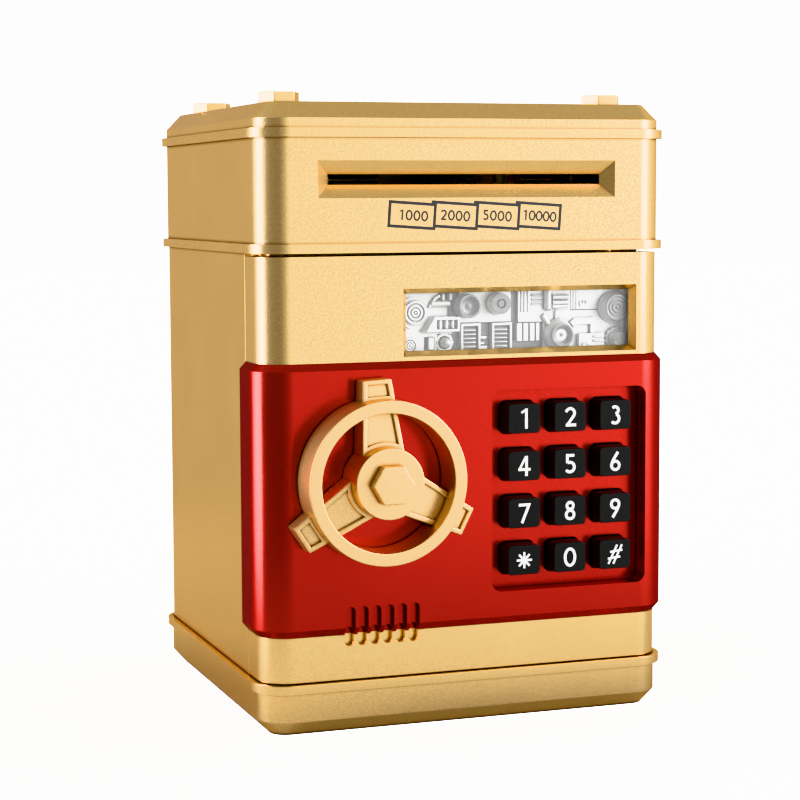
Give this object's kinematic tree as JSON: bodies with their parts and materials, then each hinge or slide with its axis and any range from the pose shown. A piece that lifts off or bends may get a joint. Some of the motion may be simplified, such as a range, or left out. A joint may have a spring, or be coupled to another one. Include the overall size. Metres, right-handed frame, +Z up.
{
  "type": "toy safe savings bank",
  "caption": "Toy cash machine money box with a note slot, powered note rollers, hinged safe door, hand wheel lock, keypad and battery box.",
  "frame": {"origin": "middle of the flat underside", "axes": "+X to the right along the front, +Y from the front to the back, +Z up"},
  "size_m": [0.1318, 0.1399, 0.1883],
  "materials": {
    "gold_shell": "satin metallic gold lacquer over moulded ABS, with a fine sparkle",
    "gold_wheel": "satin metallic gold lacquer over moulded ABS",
    "red_band": "glossy metallic red lacquer over moulded ABS",
    "black_keys": "black moulded keys, soft sheen",
    "black_plastic": "black moulded ABS",
    "black_rubber": "black rubber",
    "clear_lens": "clear polystyrene",
    "silver_relief": "silver lacquered moulding",
    "steel": "plain steel",
    "brass": "turned brass",
    "white_nylon": "white nylon",
    "circuit_board": "green solder mask",
    "copper_winding": "enamelled copper wire",
    "battery_sleeve": null
  },
  "bodies": {
    "case": {"base_plinth": "gold_shell", "chamber_floor": "gold_shell", "rear_shell": "gold_shell", "head_shell": "gold_shell", "top_cover": "gold_shell", "top_bolts": "gold_shell", "head_screws": "steel", "base_screws": "steel", "strike_plate": "steel", "hinge_pins": "steel", "feeder_frame": "black_plastic", "feed_motor": "steel", "note_sensor_board": "circuit_board", "gear_axle": "steel", "battery_box": "black_plastic", "battery_cells": "battery_sleeve", "battery_contacts": "steel", "battery_cover": "gold_shell", "battery_cover_screw": "steel"},
    "door": {"door_panel": "gold_shell", "door_band": "red_band", "door_back_cover": "gold_shell", "door_cover_screws": "steel", "window_lens": "clear_lens", "relief_plate": "silver_relief", "control_board": "circuit_board", "keypad_mat": "black_rubber", "speaker": "black_plastic", "solenoid_frame": "steel", "solenoid_coil": "copper_winding", "plunger_spring": "steel", "shaft_bush": "brass"},
    "hand_wheel": {"hand_wheel": "gold_wheel", "wheel_bolt": "gold_wheel", "wheel_shaft": "steel", "pinion": "brass"},
    "lock_bolt": {"lock_bolt": "steel"},
    "solenoid_plunger": {"solenoid_plunger": "steel"},
    "drive_roller": {"drive_shaft": "steel", "drive_tyres": "black_rubber", "roller_gear": "white_nylon", "drive_sync_gear": "white_nylon"},
    "idler_roller": {"idler_shaft": "steel", "idler_tyres": "black_rubber", "idler_sync_gear": "white_nylon"},
    "intermediate_gear": {"intermediate_gear": "white_nylon"},
    "motor_rotor": {"motor_pinion": "brass"},
    "key_1": {"key_1": "black_keys"},
    "key_2": {"key_2": "black_keys"},
    "key_3": {"key_3": "black_keys"},
    "key_4": {"key_4": "black_keys"},
    "key_5": {"key_5": "black_keys"},
    "key_6": {"key_6": "black_keys"},
    "key_7": {"key_7": "black_keys"},
    "key_8": {"key_8": "black_keys"},
    "key_9": {"key_9": "black_keys"},
    "key_star": {"key_star": "black_keys"},
    "key_0": {"key_0": "black_keys"},
    "key_hash": {"key_hash": "black_keys"}
  },
  "joints": [
    {"name": "door_hinge", "type": "hinge", "parent": "case", "child": "door", "pos_m": [0.06115, -0.0449, 0.0785], "axis": [0, 0, 1], "range_deg": [0, 90]},
    {"name": "wheel_turn", "type": "hinge", "parent": "door", "child": "hand_wheel", "pos_m": [-0.0305, -0.062, 0.0755], "axis": [0, 1, 0], "range_deg": [0, 57.2]},
    {"name": "bolt_slide", "type": "slide", "parent": "door", "child": "lock_bolt", "axis": [-1, 0, 0], "range_m": [0, 0.006]},
    {"name": "plunger_slide", "type": "slide", "parent": "door", "child": "solenoid_plunger", "axis": [0, 0, 1], "range_m": [0, 0.003], "stiffness_N_per_m": 30, "springref_m": -0.001, "deforming": ["plunger_spring"]},
    {"name": "roller_spin", "type": "hinge", "parent": "case", "child": "drive_roller", "pos_m": [0, -0.044, 0.15785], "axis": [1, 0, 0], "continuous": true},
    {"name": "idler_spin", "type": "hinge", "parent": "case", "child": "idler_roller", "pos_m": [0, -0.044, 0.16715], "axis": [1, 0, 0], "continuous": true},
    {"name": "middle_gear_spin", "type": "hinge", "parent": "case", "child": "intermediate_gear", "pos_m": [0, -0.02982, 0.16274], "axis": [1, 0, 0], "continuous": true},
    {"name": "motor_spin", "type": "hinge", "parent": "case", "child": "motor_rotor", "pos_m": [0, -0.0235, 0.1715], "axis": [1, 0, 0], "continuous": true},
    {"name": "key_1_press", "type": "slide", "parent": "door", "child": "key_1", "axis": [0, 1, 0], "range_m": [0, 0.001], "stiffness_N_per_m": 300, "springref_m": -0.0003},
    {"name": "key_2_press", "type": "slide", "parent": "door", "child": "key_2", "axis": [0, 1, 0], "range_m": [0, 0.001], "stiffness_N_per_m": 300, "springref_m": -0.0003},
    {"name": "key_3_press", "type": "slide", "parent": "door", "child": "key_3", "axis": [0, 1, 0], "range_m": [0, 0.001], "stiffness_N_per_m": 300, "springref_m": -0.0003},
    {"name": "key_4_press", "type": "slide", "parent": "door", "child": "key_4", "axis": [0, 1, 0], "range_m": [0, 0.001], "stiffness_N_per_m": 300, "springref_m": -0.0003},
    {"name": "key_5_press", "type": "slide", "parent": "door", "child": "key_5", "axis": [0, 1, 0], "range_m": [0, 0.001], "stiffness_N_per_m": 300, "springref_m": -0.0003},
    {"name": "key_6_press", "type": "slide", "parent": "door", "child": "key_6", "axis": [0, 1, 0], "range_m": [0, 0.001], "stiffness_N_per_m": 300, "springref_m": -0.0003},
    {"name": "key_7_press", "type": "slide", "parent": "door", "child": "key_7", "axis": [0, 1, 0], "range_m": [0, 0.001], "stiffness_N_per_m": 300, "springref_m": -0.0003},
    {"name": "key_8_press", "type": "slide", "parent": "door", "child": "key_8", "axis": [0, 1, 0], "range_m": [0, 0.001], "stiffness_N_per_m": 300, "springref_m": -0.0003},
    {"name": "key_9_press", "type": "slide", "parent": "door", "child": "key_9", "axis": [0, 1, 0], "range_m": [0, 0.001], "stiffness_N_per_m": 300, "springref_m": -0.0003},
    {"name": "key_star_press", "type": "slide", "parent": "door", "child": "key_star", "axis": [0, 1, 0], "range_m": [0, 0.001], "stiffness_N_per_m": 300, "springref_m": -0.0003},
    {"name": "key_0_press", "type": "slide", "parent": "door", "child": "key_0", "axis": [0, 1, 0], "range_m": [0, 0.001], "stiffness_N_per_m": 300, "springref_m": -0.0003},
    {"name": "key_hash_press", "type": "slide", "parent": "door", "child": "key_hash", "axis": [0, 1, 0], "range_m": [0, 0.001], "stiffness_N_per_m": 300, "springref_m": -0.0003}
  ],
  "couplings": [
    {"joint": "bolt_slide", "follows": "wheel_turn", "m_per_rad": 0.006},
    {"joint": "idler_spin", "follows": "roller_spin", "ratio": -1},
    {"joint": "middle_gear_spin", "follows": "roller_spin", "ratio": -0.92308},
    {"joint": "motor_spin", "follows": "roller_spin", "ratio": 2.4}
  ]
}
